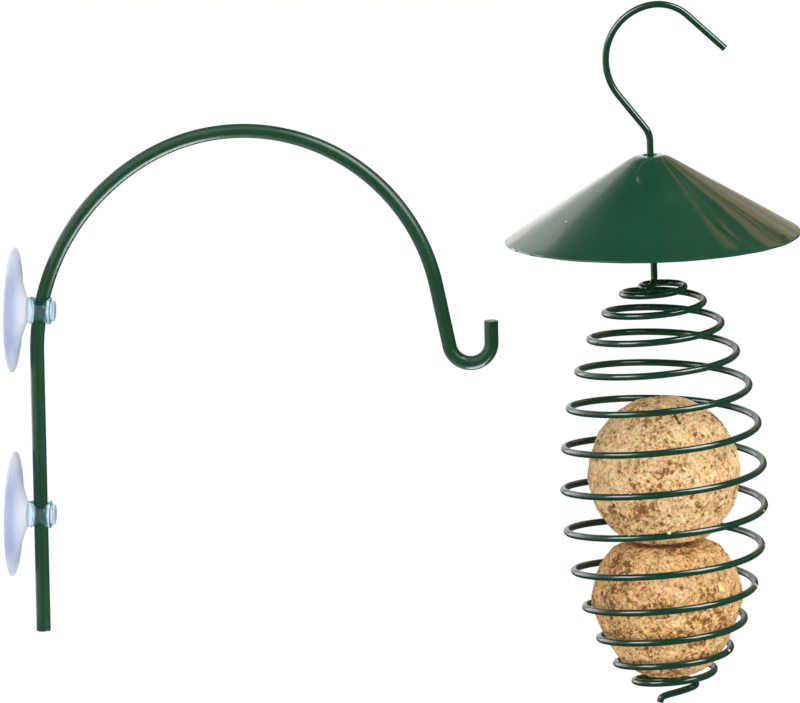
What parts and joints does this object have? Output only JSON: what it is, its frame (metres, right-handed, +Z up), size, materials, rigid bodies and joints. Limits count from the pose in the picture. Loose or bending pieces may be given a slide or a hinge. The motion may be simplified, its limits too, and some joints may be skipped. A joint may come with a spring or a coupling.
{
  "type": "hanging bird feeder with window bracket",
  "caption": "Wire-spiral fat-ball feeder under a conical sheet roof, beside an arched coated-steel rod bracket held to a window by clear suction cups.",
  "frame": {"origin": "on the window pane, midway between the middles of the two suction cups", "axes": "+X straight out from the pane, +Z up, +Y level along the pane"},
  "size_m": [0.3454, 0.1286, 0.3091],
  "materials": {
    "green_coated_steel": "gloss",
    "dark_coated_wire": "gloss",
    "clear_cup": "gloss",
    "zinc_steel": "satin",
    "fat_ball": "matte"
  },
  "bodies": {
    "cups": {"suction_cup_upper": "clear_cup", "suction_cup_lower": "clear_cup"},
    "bracket": {"bracket_rod": "green_coated_steel"},
    "feeder": {"feeder_wire": "dark_coated_wire"},
    "washer": {"roof_washer": "zinc_steel"},
    "roof": {"roof": "green_coated_steel"},
    "upper ball": {"fat_ball_upper": "fat_ball"},
    "lower ball": {"fat_ball_lower": "fat_ball"}
  },
  "joints": [
    {"name": "bracket swivel", "type": "hinge", "parent": "cups", "child": "bracket", "pos_m": [0.0123, 0, 0], "axis": [0, 0, 1], "range_deg": [-75, 75]},
    {"name": "feeder swing", "type": "hinge", "parent": "cups", "child": "feeder", "pos_m": [0.2851, 0, 0.18507], "axis": [0, 1, 0], "range_deg": [-10, 10]},
    {"name": "washer turn", "type": "hinge", "parent": "feeder", "child": "washer", "pos_m": [0.27993, 0, 0.1195], "axis": [-0.0332, 0, 0.9995], "continuous": true},
    {"name": "roof lift", "type": "slide", "parent": "washer", "child": "roof", "axis": [-0.0332, 0, 0.9995], "range_m": [0, 0.008]},
    {"name": "upper ball lift", "type": "slide", "parent": "feeder", "child": "upper ball", "axis": [-0.0332, 0, 0.9995], "range_m": [0, 0.03]},
    {"name": "lower ball turn", "type": "hinge", "parent": "feeder", "child": "lower ball", "pos_m": [0.28143, 0, 0.11955], "axis": [-0.0332, 0, 0.9995], "continuous": true}
  ]
}
